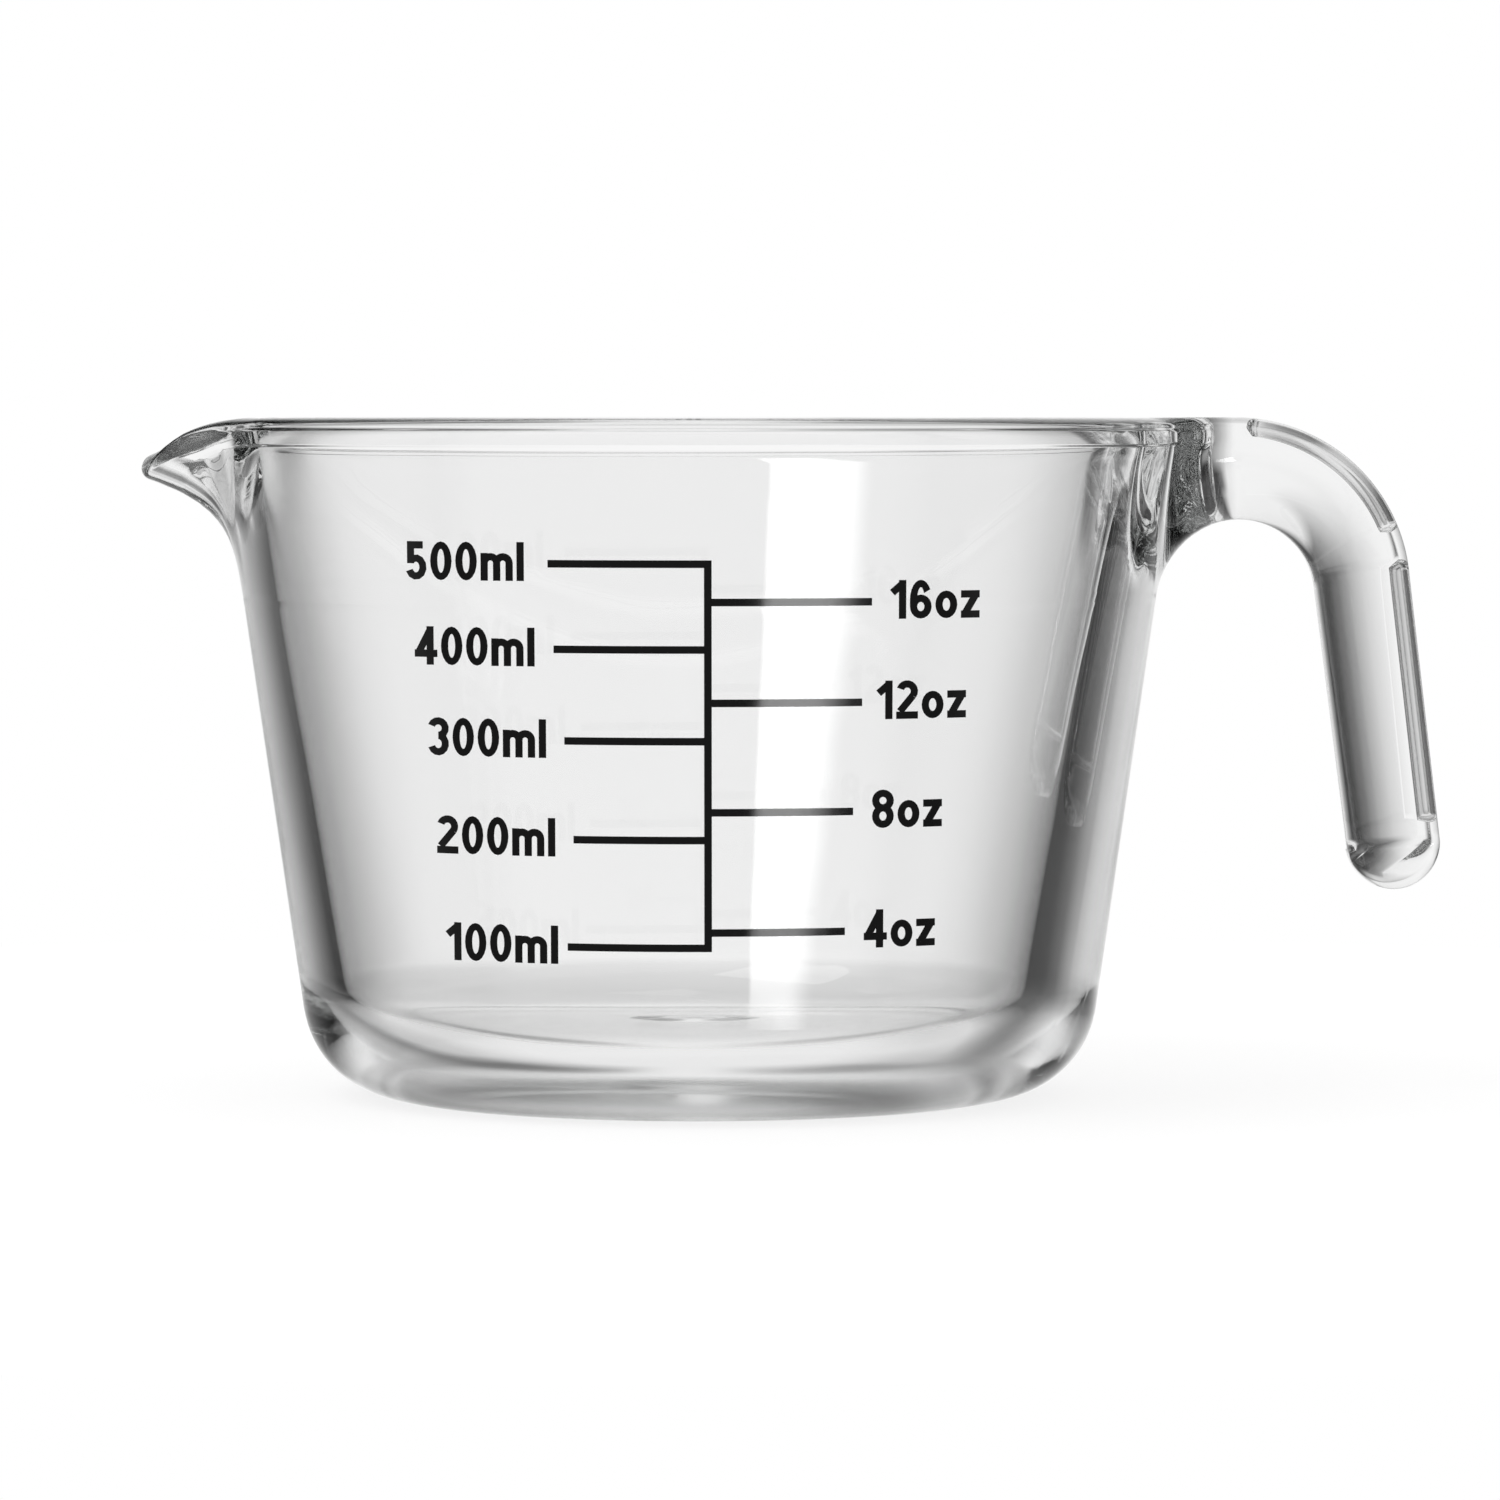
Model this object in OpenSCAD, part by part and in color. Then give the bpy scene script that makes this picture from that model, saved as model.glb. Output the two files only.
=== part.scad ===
// Half-litre pressed-glass measuring jug: tapered vessel with a pouring lip, an open strap handle
// and a printed scale. Millimetres, +Z up. The origin is the centre of the base on the table.
// The lip points to -X, the handle to +X, and the scale faces -Y.

/* [Vessel] */
// Height of the rim above the table
jug_height = 90; // [80:1:110]
// Outside radius of the wall at the height of the rim
rim_radius = 64; // [60:0.5:70]
// Outside radius of the wall, carried on down to the table
base_radius = 51; // [47:0.5:55]
// Radius of the outside corner between the wall and the base
corner_radius = 13.5; // [8:0.5:16]
// Thickness of the wall at the rim
rim_wall = 5.6; // [5.5:0.1:8]
// Thickness of the wall at the floor
floor_wall = 7.8; // [6:0.1:11]
// Thickness of the glass under the floor
floor_thickness = 7.4; // [5:0.2:12]
// Radius of the inside corner between the floor and the wall
cavity_corner = 10; // [4:0.5:12]
// How far the cavity sits off centre, towards the lip
cavity_shift = 1.4; // [0:0.1:1.5]
// Radius of the rounding on the outside of the rim
rim_round = 1.1; // [0.8:0.1:1.4]
// Radius of the rounding on the inside of the rim
mouth_round = 1.1; // [0.8:0.1:1.8]
// Height of the upright band around the wall, under the rim's rounding
band_height = 2.7; // [2:0.1:3.5]
// How far the rim stands back from the band
ledge_depth = 0.4; // [0.2:0.05:0.4]
// Height of the slope at each end of the band
band_slope = 0.5; // [0.3:0.1:0.7]
// Radius of the hollow under the base, at the table
punt_radius = 8.6; // [6:0.1:14]
// Radius of the hollow under the base, at its top
punt_top_radius = 4.4; // [2:0.1:5.8]
// Depth of the hollow under the base
punt_depth = 2.6; // [1:0.1:4]

/* [Pouring lip] */
// How far the lip stands out from the wall
lip_reach = 10.6; // [6:0.1:13]
// How far the lip dips below the rim
lip_drop = 5; // [1:0.2:6]
// Depth below the rim at which the wall starts to flare into the lip
lip_depth = 40; // [30:1:45]
// Angle from the middle of the lip to where its flank joins the rim
lip_half_angle = 27; // [24:1:40]
// Thickness of the glass in the lip
lip_thickness = 3.2; // [2.6:0.1:5]
// Radius of the rounding on the edge of the lip
lip_round = 1.6; // [1.2:0.1:2.2]

/* [Handle] */
// Width of the gap for fingers, between the wall and the leg
finger_gap = 21.1; // [20:0.1:30]
// Radius of the arch over the fingers
arch_radius = 10.2; // [8:0.2:12]
// Thickness of the strap at the top of the arch
strap_top_thickness = 13.6; // [10:0.2:16]
// Thickness of the strap where the leg starts
strap_leg_thickness = 12.1; // [9:0.2:14]
// Thickness of the strap at its free end
strap_tip_thickness = 11.8; // [8:0.2:13]
// Width of the strap, across the jug
strap_width = 20; // [16:0.5:26]
// Depth of the strap's round inner side
strap_belly = 9.5; // [7:0.1:9.6]
// Rounding of the strap's two outer edges
strap_round = 1.3; // [0.8:0.1:1.6]
// Rounding of the free end, seen from the back
tip_round = 3.6; // [2:0.2:6]
// Length of the straight leg
leg_length = 35.3; // [25:0.1:42]
// How far the leg leans out from upright, in degrees
leg_lean = 7.4; // [2:0.2:10]
// How far the top of the handle stands above the rim
handle_rise = 0.1; // [0:0.1:2]
// Radius of the fillet where the strap widens into the wall
root_fillet = 7; // [4:0.5:9]
// Width of the panels pressed into the strap
panel_width = 12.5; // [6:0.5:13.5]
// Depth of the panels
panel_depth = 2.4; // [0.6:0.1:2.8]
// Width of the slope along each side of a panel
panel_slope = 1; // [0.4:0.1:1.5]

/* [Printed scale] */
// Height of the 500 ml line above the table
full_level = 71.8; // [60:0.1:80]
// Thickness of the print
print_thickness = 0.2; // [0.1:0.05:0.4]
// Width of the stem and the level lines
line_weight = 0.96; // [0.5:0.02:1.4]
// How far the stem stands to the right of the middle
stem_offset = 1.4; // [0:0.1:2]
// Length of the longest level line
line_length = 20.1; // [16:0.1:22]
// Gap between a level line and its caption
caption_gap = 2.3; // [1:0.1:3]
// How far the captions stand above the middle of their lines
caption_lift = 0.25; // [0:0.05:1]
// Height of the figures
letter_height = 4.9; // [3:0.05:5.5]
// Height of the small letters
x_height = 3.5; // [2.4:0.05:4]
// Width of a figure
digit_width = 2.78; // [2:0.02:3]
// Width of the strokes in the captions
stroke = 0.94; // [0.6:0.02:1.04]
// Gap between the letters of a caption
letter_gap = 0.46; // [0.3:0.02:1]

/* [Hidden] */
// Marks, lowest first, with each line's share of the longest one and each gap's share of the usual one
ml_marks = [100, 200, 300, 400, 500];
ml_length_shares = [0.86, 0.82, 0.875, 0.94, 0.975];
ml_gap_shares = [0.52, 1, 1, 1.04, 1.3];
oz_marks = [4, 8, 12, 16];
oz_length_shares = [0.835, 0.885, 0.94, 1];
oz_gap_shares = [1.04, 1.04, 0.7, 0.91];
ml_per_oz = 28.41;
mm3_per_ml = 1000;

function ml_name(kind, ml) = str(kind, "_", ml, "ml");
function oz_name(kind, oz) = str(kind, "_", oz, "oz");

$fn = 96;
arc_steps = 10;
overrun = 1;
glass_colour = [0.84, 0.88, 0.88, 0.5];
enamel_colour = [0.06, 0.06, 0.06];

// Shared geometry
function mix(a, b, t) = a + (b - a) * t;
function polar(radius, angle) = radius * [cos(angle), sin(angle)];
function arc(centre, radius, from, to) =
    [for (i = [0:arc_steps]) centre + polar(radius, mix(from, to, i / arc_steps))];

// Sections of equal length joined into one closed solid, with flat ends
module skin(sections) {
    n = len(sections[0]);
    last = len(sections) - 1;
    sides = [
        for (i = [0:last - 1], j = [0:n - 1])
            let (k = (j + 1) % n)
            each [
                [i * n + j, i * n + k, (i + 1) * n + k],
                [i * n + j, (i + 1) * n + k, (i + 1) * n + j]
            ]
    ];
    first_end = [for (j = [n - 1:-1:0]) j];
    last_end = [for (j = [0:n - 1]) last * n + j];
    points = [for (section = sections) each section];
    polyhedron(points, concat([first_end], sides, [last_end]), convexity = 6);
}

// Wall of the vessel, outside and inside, as radii at a height
wall_lean = atan((rim_radius - base_radius) / jug_height);
function outer_r(z) = mix(base_radius, rim_radius, z / jug_height);
foot_radius = base_radius + corner_radius * (tan(wall_lean) * (1 - sin(wall_lean)) - cos(wall_lean));

cavity_depth = jug_height - floor_thickness;
cavity_rim_radius = rim_radius - rim_wall;
cavity_floor_radius = outer_r(floor_thickness) - floor_wall;
cavity_lean = atan((cavity_rim_radius - cavity_floor_radius) / cavity_depth);
function cavity_r(z) =
    mix(cavity_floor_radius, cavity_rim_radius, (z - floor_thickness) / cavity_depth);
cavity_corner_z = floor_thickness + cavity_corner;
cavity_corner_r = cavity_r(cavity_corner_z - cavity_corner * sin(cavity_lean))
    - cavity_corner * cos(cavity_lean);

// Radius of the liquid's surface, with the round corner of the floor
function liquid_r(z) =
    let (below = cavity_corner_z - z)
    below > cavity_corner * sin(cavity_lean)
        ? cavity_corner_r + sqrt(max(0, pow(cavity_corner, 2) - pow(below, 2)))
        : cavity_r(z);

// Volume up to a height, in thin slices, and the height that holds a share of the full volume
slices = 80;
function volume(z) =
    let (slice = (z - floor_thickness) / slices)
    [for (i = [0:slices - 1]) PI * pow(liquid_r(floor_thickness + (i + 0.5) * slice), 2) * slice]
        * [for (i = [1:slices]) 1];
full_volume = volume(full_level);
halvings = 30;
function level(share, low = floor_thickness, high = jug_height, left = halvings) =
    let (middle = (low + high) / 2)
    left == 0 ? middle
    : volume(middle) < share * full_volume ? level(share, middle, high, left - 1)
    : level(share, low, middle, left - 1);
ml_levels = [for (ml = ml_marks) level(ml / max(ml_marks))];
oz_levels = [for (oz = oz_marks) level(oz * ml_per_oz / max(ml_marks))];
low_level = min(ml_levels);
top_level = max(ml_levels);
echo(str("Volume at the top line: ", round(full_volume / mm3_per_ml), " ml"));

// The band is upright, so it leaves the leaning wall below and is flush with it above. The rim
// stands back from the band by a ledge.
ledge_z = jug_height - rim_round;
band_z = ledge_z - band_height;
band_r = outer_r(ledge_z);
band_start = [[outer_r(band_z), band_z], [band_r, band_z + band_slope]];

module outer_section() {
    polygon(concat(
        [[0, punt_depth], [punt_top_radius, punt_depth], [punt_radius, 0]],
        arc([foot_radius, corner_radius], corner_radius, -90, -wall_lean),
        band_start,
        [[band_r, ledge_z - band_slope]],
        arc([band_r - ledge_depth - rim_round, ledge_z], rim_round, 0, 90),
        [[0, jug_height]]
    ));
}

module cavity_section() {
    mouth_z = jug_height - mouth_round;
    mouth_r = cavity_r(mouth_z + mouth_round * sin(cavity_lean)) + mouth_round * cos(cavity_lean);
    polygon(concat(
        [[0, floor_thickness]],
        arc([cavity_corner_r, cavity_corner_z], cavity_corner, -90, -cavity_lean),
        arc([mouth_r, mouth_z], mouth_round, 180 - cavity_lean, 90),
        [[mouth_r, jug_height + overrun], [0, jug_height + overrun]]
    ));
}

// Pouring lip: the wall flares outwards by a power of the height, most in the middle of the lip.
// The rim dips into the lip, and each upright slice of it ends in a rounding of its own.
// Both flared faces start slightly inside the plain ones, so that they cross them at a clear angle.
// The channel inside is narrower than the lip, because its flare is a power of the lip's own.
lip_sink = 0.45;
lip_curl = 8.7;
lip_dip = 2.8;
channel_pinch = 3.5;
lip_steps = 24;
lip_rows = 12;
lip_low = jug_height - lip_depth;
lip_edge = jug_height - lip_drop;
lip_angles = [for (i = [0:lip_steps]) mix(-lip_half_angle, lip_half_angle, i / lip_steps)];
function bell(angle) = pow(cos(90 * angle / lip_half_angle), 2);
function edge_z(angle) = mix(jug_height - lip_sink, lip_edge, pow(bell(angle), lip_dip));
function edge_round(angle) = mix(rim_round, lip_round, bell(angle));
function under_z(angle) = edge_z(angle) - 2 * edge_round(angle);
function flare(angle, z, pinch = 1) =
    lip_reach * pow(bell(angle), pinch) * pow(max(0, (z - lip_low) / (under_z(angle) - lip_low)), lip_curl);
function around(angle, r, z) = [-r * cos(angle), -r * sin(angle), z];

function lip_outer_r(angle, z) = outer_r(z) + flare(angle, z) - lip_sink;
function lip_inner_r(angle, z) =
    cavity_r(z) + cavity_shift * cos(angle) + flare(angle, z - lip_thickness, channel_pinch) - lip_sink;

// The edge of the lip is an arc that starts square to the underside and ends level
function lip_section(angle) =
    let (
        top = edge_z(angle),
        r = edge_round(angle),
        slope = (lip_outer_r(angle, top - r) - lip_outer_r(angle, under_z(angle))) / r,
        tilt = atan(slope),
        end_z = top - r * (1 + sin(tilt)),
        end = [lip_outer_r(angle, end_z), end_z],
        centre = end - polar(r, -tilt),
        core_r = (outer_r(lip_low) + cavity_r(lip_low)) / 2
    )
    concat(
        [[core_r, lip_low]],
        [
            for (i = [0:lip_rows - 1])
                let (z = mix(lip_low, end_z, i / lip_rows))
                [lip_outer_r(angle, z), z]
        ],
        arc(centre, r, -tilt, 90),
        [[core_r, top]]
    );

function channel_section(angle) =
    let (
        low = lip_low + lip_thickness,
        high = jug_height + overrun,
        core_r = cavity_floor_radius
    )
    concat(
        [[core_r, low]],
        [
            for (i = [0:lip_rows])
                let (z = mix(low, high, i / lip_rows))
                [lip_inner_r(angle, z), z]
        ],
        [[core_r, high]]
    );

module lip_body() {
    skin([for (a = lip_angles) [for (p = lip_section(a)) around(a, p[0], p[1])]]);
}

module lip_channel() {
    skin([for (a = lip_angles) [for (p = channel_section(a)) around(a, p[0], p[1])]]);
}

module vessel() {
    color(glass_colour)
    difference() {
        union() {
            rotate_extrude() outer_section();
            lip_body();
        }
        translate([-cavity_shift, 0, 0]) rotate_extrude() cavity_section();
        lip_channel();
    }
}

// Handle: a strap, round on its inner side, that runs out level from the wall, turns down over the
// arch and ends in a free tip. A station is [centre x, centre z, outward angle, half thickness, half width].
handle_top = jug_height + handle_rise;
arch_z = handle_top - strap_top_thickness - arch_radius;
arch_x = outer_r(arch_z) + finger_gap - arch_radius;
half_width = strap_width / 2;
root_steps = 8;
arch_count = 12;
tip_steps = 6;
tip_end_angle = 84;

// The fillet is a circle that touches the side of the strap and the round wall
root_r = outer_r(handle_top - strap_top_thickness / 2);
fillet_x = sqrt(pow(root_r + root_fillet, 2) - pow(half_width + root_fillet, 2));
fillet_end_x = fillet_x * root_r / (root_r + root_fillet);
function root_half_width(x) =
    let (along = max(0, fillet_x - max(x, fillet_end_x)))
    half_width + root_fillet - sqrt(pow(root_fillet, 2) - pow(along, 2));

function root_station(x) =
    let (
        under = arch_z + sqrt(max(0, pow(arch_radius, 2) - pow(arch_x - x, 2))),
        half = (handle_top - under) / 2
    )
    [x, handle_top - half, 90, half, root_half_width(x)];

function arch_station(angle) =
    let (
        turned = (90 - angle) / (90 - leg_lean),
        half = mix(strap_top_thickness, strap_leg_thickness, turned) / 2,
        centre = [arch_x, arch_z] + polar(arch_radius + half, angle)
    )
    [centre[0], centre[1], angle, half, half_width];

function leg_station(share) =
    let (
        start = arch_station(leg_lean),
        half = mix(strap_leg_thickness, strap_tip_thickness, share) / 2,
        inner = [start[0], start[1]] - polar(start[3], leg_lean),
        centre = inner + polar(half, leg_lean) + polar(leg_length * share, leg_lean - 90)
    )
    [centre[0], centre[1], leg_lean, half, half_width];

function tip_station(angle) =
    let (
        end = leg_station(1),
        radius = end[3],
        centre = [end[0], end[1]] + polar(radius * sin(angle), leg_lean - 90)
    )
    [centre[0], centre[1], leg_lean, radius * cos(angle), half_width - tip_round * (1 - cos(angle))];

root_start_x = cavity_r(arch_z);
root_stations = [
    for (i = [0:root_steps - 1]) root_station(mix(root_start_x, arch_x, i / root_steps))
];
arch_stations = [for (i = [0:arch_count]) arch_station(mix(90, leg_lean, i / arch_count))];
tip_stations = [for (i = [0:tip_steps]) tip_station(tip_end_angle * i / tip_steps)];
handle_stations = concat(root_stations, arch_stations, tip_stations);

// Places a point of a section, given outwards and across, at a station
function placed(station, out, across) =
    let (p = [station[0], station[1]] + polar(out, station[2]))
    [p[0], across, p[1]];

// The section is half an ellipse towards the fingers, two short sides and two small outer roundings.
// The ellipse is deeper where the strap widens into the wall and shallower where the tip closes.
belly_steps = 16;
edge_steps = 4;
belly_growth_share = 0.7;
belly_limit_share = 0.8;
edge_limit_share = 0.12;
function strap_section(station) =
    let (
        half = station[3],
        wide = station[4],
        belly_max = belly_limit_share * 2 * half,
        belly = min(strap_belly + belly_growth_share * max(0, wide - half_width), belly_max),
        r = min(strap_round, edge_limit_share * 2 * half)
    )
    concat(
        [
            for (i = [0:edge_steps])
                let (turn = polar(r, 90 * i / edge_steps))
                placed(station, half - r + turn[0], wide - r + turn[1])
        ],
        [
            for (i = [0:belly_steps])
                let (turn = polar(1, 90 + 180 * i / belly_steps))
                placed(station, belly - half + belly * turn[0], wide * turn[1])
        ],
        [
            for (i = [0:edge_steps])
                let (turn = polar(r, 270 + 90 * i / edge_steps))
                placed(station, half - r + turn[0], r - wide + turn[1])
        ]
    );

function panel_section(station) =
    let (
        low = station[3] - panel_depth,
        high = station[3] + overrun,
        low_side = panel_width / 2 - panel_slope,
        high_side = panel_width / 2 + panel_slope * overrun / panel_depth
    )
    [
        placed(station, high, high_side),
        placed(station, low, low_side),
        placed(station, low, -low_side),
        placed(station, high, -high_side)
    ];

// The thumb panel covers the arch, the back panel the leg. A bridge of full thickness parts them.
panel_steps = 10;
thumb_end_angle = 22;
back_start_angle = 15;
back_end_share = 0.94;
thumb_stations = [
    for (i = [0:panel_steps]) arch_station(mix(90, thumb_end_angle, i / panel_steps))
];
back_stations = [
    arch_station(back_start_angle),
    arch_station((back_start_angle + leg_lean) / 2),
    leg_station(0),
    leg_station(back_end_share)
];

// The outside of the wall and its band, for the handle to seat on
module wall_seat(low, high) {
    rotate_extrude() polygon(concat(
        [[0, low], [outer_r(low), low]],
        band_start,
        [[band_r, high], [0, high]]
    ));
}

module handle() {
    color(glass_colour)
    difference() {
        skin([for (s = handle_stations) strap_section(s)]);
        wall_seat(corner_radius, handle_top + overrun);
        skin([for (s = thumb_stations) panel_section(s)]);
        skin([for (s = back_stations) panel_section(s)]);
    }
}

// Printed scale: flat figures carried straight back onto the wall, as a thin skin on its outside
module printed() {
    color(enamel_colour)
    intersection() {
        rotate_extrude() polygon([
            [outer_r(corner_radius), corner_radius],
            [outer_r(corner_radius) + print_thickness, corner_radius],
            [rim_radius + print_thickness, jug_height],
            [rim_radius, jug_height]
        ]);
        rotate([90, 0, 0]) linear_extrude(rim_radius + overrun) children();
    }
}

stem_left = stem_offset - line_weight / 2;
stem_right = stem_offset + line_weight / 2;

module scale_stem() {
    printed()
    translate([stem_left, low_level - line_weight / 2])
    square([line_weight, top_level - low_level + line_weight]);
}

module ml_line(i) {
    reach = line_length * ml_length_shares[i];
    printed()
    translate([stem_left - reach, ml_levels[i] - line_weight / 2])
    square([reach, line_weight]);
}

module oz_line(i) {
    printed()
    translate([stem_right, oz_levels[i] - line_weight / 2])
    square([line_length * oz_length_shares[i], line_weight]);
}

caption_low = caption_lift - letter_height / 2;

module ml_label(i) {
    caption = str(ml_marks[i], "ml");
    right = stem_left - line_length * ml_length_shares[i] - caption_gap * ml_gap_shares[i];
    printed()
    translate([right - caption_width(caption), ml_levels[i] + caption_low])
    letters(caption);
}

module oz_label(i) {
    left = stem_right + line_length * oz_length_shares[i] + caption_gap * oz_gap_shares[i];
    printed()
    translate([left, oz_levels[i] + caption_low])
    letters(str(oz_marks[i], "oz"));
}

// Letters: plain narrow figures drawn with one stroke width
one_width = 2.24;
four_width = 2.96;
m_width = 4.12;
o_width = 2.82;
z_width = 2.42;
function letter_width(c) =
    c == "1" ? one_width
    : c == "4" ? four_width
    : c == "m" ? m_width
    : c == "l" ? stroke
    : c == "o" ? o_width
    : c == "z" ? z_width
    : digit_width;
function pen(caption, i) =
    i == 0 ? 0 : pen(caption, i - 1) + letter_width(caption[i - 1]) + letter_gap;
function caption_width(caption) = pen(caption, len(caption)) - letter_gap;

module letters(caption) {
    for (i = [0:len(caption) - 1]) translate([pen(caption, i), 0]) letter(caption[i]);
}

function oval(centre, rx, ry, from, to) =
    [
        for (i = [0:arc_steps])
            let (a = mix(from, to, i / arc_steps))
            centre + [rx * cos(a), ry * sin(a)]
    ];

// A curved stroke, a closed ring and a straight stroke
module bow(centre, rx, ry, from, to) {
    polygon(concat(
        oval(centre, rx, ry, from, to),
        oval(centre, rx - stroke, ry - stroke, to, from)
    ));
}

module ring(centre, rx, ry) {
    bow(centre, rx, ry, 0, 180);
    bow(centre, rx, ry, 180, 360);
}

module bar(from, to) {
    along = (to - from) / norm(to - from);
    side = [-along[1], along[0]] * stroke / 2;
    polygon([from - side, to - side, to + side, from + side]);
}

module slab(x, y, width, height) {
    translate([x, y]) square([width, height]);
}

half_digit = digit_width / 2;
half_stroke = stroke / 2;
upper_share = 0.48;
upper_bowl = upper_share * (letter_height + stroke) / 2;
lower_bowl = (letter_height + stroke) / 2 - upper_bowl;
upper_centre = [half_digit, letter_height - upper_bowl];
lower_centre = [half_digit, lower_bowl];
five_bowl_share = 0.33;
crossbar_share = 0.2;
hook_angle = 160;

module letter(c) {
    if (c == "0") ring([half_digit, letter_height / 2], half_digit, letter_height / 2);
    if (c == "1") figure_one();
    if (c == "2") figure_two();
    if (c == "3") figure_three();
    if (c == "4") figure_four();
    if (c == "5") figure_five();
    if (c == "6") figure_six();
    if (c == "8") figure_eight();
    if (c == "m") letter_m();
    if (c == "l") slab(0, 0, stroke, letter_height);
    if (c == "o") ring([o_width / 2, x_height / 2], o_width / 2, x_height / 2);
    if (c == "z") letter_z();
}

module figure_one() {
    flag_share = 1.7;
    slab(one_width - stroke, 0, stroke, letter_height);
    bar(
        [half_stroke, letter_height - flag_share * stroke],
        [one_width - half_stroke, letter_height - half_stroke]
    );
}

module figure_two() {
    swing = -36;
    reach = [(half_digit - half_stroke) * cos(swing), (upper_bowl - half_stroke) * sin(swing)];
    bow(upper_centre, half_digit, upper_bowl, swing, hook_angle);
    bar(upper_centre + reach, [half_stroke, stroke]);
    slab(0, 0, digit_width, stroke);
}

module figure_three() {
    bow(upper_centre, half_digit, upper_bowl, -90, hook_angle);
    bow(lower_centre, half_digit, lower_bowl, -hook_angle, 90);
}

module figure_four() {
    crossbar = crossbar_share * letter_height;
    stem_x = four_width - stroke - half_stroke;
    slab(stem_x, 0, stroke, letter_height);
    slab(0, crossbar, four_width, stroke);
    bar([half_stroke, crossbar + half_stroke], [stem_x + half_stroke, letter_height - half_stroke]);
}

module figure_five() {
    bowl = five_bowl_share * letter_height;
    slab(half_stroke, letter_height - stroke, digit_width - stroke, stroke);
    slab(half_stroke / 2, bowl + half_stroke, stroke, letter_height - bowl - half_stroke);
    bow([half_digit, bowl], half_digit, bowl, -hook_angle, 140);
}

module figure_six() {
    ring(lower_centre, half_digit, lower_bowl);
    bow([half_digit, letter_height / 2], half_digit, letter_height / 2, 30, 180);
    slab(0, lower_bowl, stroke, letter_height / 2 - lower_bowl);
}

module figure_eight() {
    ring(upper_centre, half_digit, upper_bowl);
    ring(lower_centre, half_digit, lower_bowl);
}

module letter_m() {
    step = (m_width - stroke) / 2;
    arch = (step + stroke) / 2;
    slab(0, 0, stroke, x_height);
    for (i = [0:1]) {
        bow([arch + i * step, x_height - arch], arch, arch, 0, 180);
        slab((i + 1) * step, 0, stroke, x_height - arch);
    }
}

module letter_z() {
    slab(0, 0, z_width, stroke);
    slab(0, x_height - stroke, z_width, stroke);
    bar([half_stroke, half_stroke], [z_width - half_stroke, x_height - half_stroke]);
}

vessel();
handle();
scale_stem();
for (i = [0:len(ml_marks) - 1]) {
    ml_line(i);
    ml_label(i);
}
for (i = [0:len(oz_marks) - 1]) {
    oz_line(i);
    oz_label(i);
}
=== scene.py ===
"""Looks of the glass measuring jug, built around its packed construction model.

The glass is one closed surface: the wall, floor, lip and handle run into each other as they do in a
pressing. The printed scale keeps its construction pieces and takes a black enamel finish here.
"""

import math

import bpy
import numpy as np
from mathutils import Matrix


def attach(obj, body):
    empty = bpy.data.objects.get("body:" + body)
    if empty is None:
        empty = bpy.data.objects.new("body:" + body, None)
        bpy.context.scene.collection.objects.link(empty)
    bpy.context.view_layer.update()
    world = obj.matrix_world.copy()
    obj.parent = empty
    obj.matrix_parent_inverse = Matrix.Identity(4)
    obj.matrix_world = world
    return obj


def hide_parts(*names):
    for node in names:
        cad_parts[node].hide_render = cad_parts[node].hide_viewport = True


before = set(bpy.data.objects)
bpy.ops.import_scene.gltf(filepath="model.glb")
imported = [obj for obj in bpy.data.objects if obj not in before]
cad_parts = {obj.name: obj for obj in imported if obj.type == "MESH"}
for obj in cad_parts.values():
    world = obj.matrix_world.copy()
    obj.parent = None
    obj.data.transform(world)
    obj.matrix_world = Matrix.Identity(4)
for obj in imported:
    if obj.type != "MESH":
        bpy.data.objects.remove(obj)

bl_info = {
    "name": "Measuring jug",
    "version": (1, 0, 0),
    "blender": (4, 5, 0),
    "location": "View3D > Sidebar > Jug",
    "description": "Builds the glass, the printed scale and the studio of a measuring jug",
    "category": "Object",
}

PRINT_PARTS = ("scale_stem", "line_", "label_")

QUARTER_TURN = 0.5 * math.pi
FULL_TURN = 2.0 * math.pi

# How finely the glass is divided, in cells
ROOT_COLUMNS = 36
OTHER_COLUMNS = 186
PUNT_ROWS = 6
FLAT_ROWS = 8
CORNER_ROWS = 20
WALL_ROWS = 46
ROOT_CURVE_ROWS = 20
ROOT_SIDE_ROWS = 20
RIM_ROWS = 14
INNER_ROWS = 72
INNER_CORNER_ROWS = 16
FLOOR_ROWS = 10
FILLET_RINGS = 12
ARCH_RINGS = 42
LEG_RINGS = 46

# Rows of the hollow under the base: shares of its top radius, and steps beyond its edge in metres
PUNT_TOP_SHARES = (0.3, 0.6, 0.88, 0.96)
PUNT_EDGE_STEP = 0.0003
PUNT_EDGE_STEPS = (0.6, 1.6)

# Rows beside the root at which the band starts, is upright and meets its ledge
BAND_ROWS = (3, 11, 12)

# Power that sets the inner wall's rows closer together near the rim
INNER_SPREAD = 1.15

# Columns across the handle's face: cells beside a panel and on its slope, and a margin in metres
PANEL_RIM_CELLS = 3
PANEL_SLOPE_CELLS = 8
PANEL_MARGIN = 0.0001

# Shares of the hollow's side that are eased and straight
PUNT_EASED = 0.35
PUNT_STRAIGHT = 0.65

# Height at which the print's bed ends and the height over which it fades, in metres
BED_TOP = 0.084
BED_FADE = 0.004

# The most that the band stands out of the cone, and the step that slopes are taken over, in metres
BAND_LIMIT = 0.001
SLOPE_STEP = 0.0002

# Power that makes the rim's half ellipse a little fuller
RIM_POWER = 2.0 / 2.2

# Where the handle's panels end and start, in degrees above level, and a share of the leg left plain
THUMB_PANEL_END = 22.0
BACK_PANEL_START = 15.0
BACK_PANEL_MARGIN = 0.06

# Weight of the middle point that makes the fillet a quarter circle
FILLET_WEIGHT = math.sqrt(0.5)

# Powers that round the handle's free end off towards its sides
END_FULLNESS = 5
END_POWER = 0.4

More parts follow.
